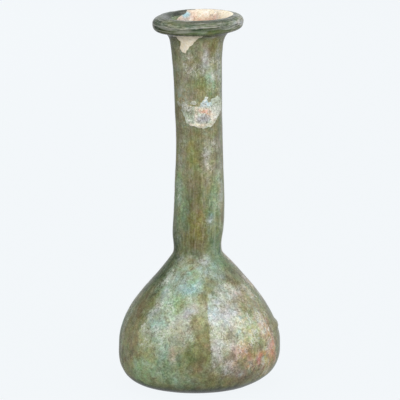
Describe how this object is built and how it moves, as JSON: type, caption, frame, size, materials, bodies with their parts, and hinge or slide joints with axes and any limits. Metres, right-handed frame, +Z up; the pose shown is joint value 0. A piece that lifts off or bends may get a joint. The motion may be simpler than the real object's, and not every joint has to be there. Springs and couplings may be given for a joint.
{
  "type": "glass perfume flask",
  "caption": "Blown glass perfume flask with a low bell-shaped body, a tall narrow neck and a wide folded rim.",
  "frame": {"origin": "on the ground under the middle of the body", "axes": "+Z up along the neck towards the mouth, -Y towards the front, +X to the front's right"},
  "size_m": [0.0657, 0.0656, 0.1504],
  "materials": {
    "weathered_glass": "old green glass with a dull pearly weathering crust in olive, silver, lavender and turquoise patches"
  },
  "bodies": {
    "root": {"flask": "weathered_glass"}
  },
  "joints": []
}
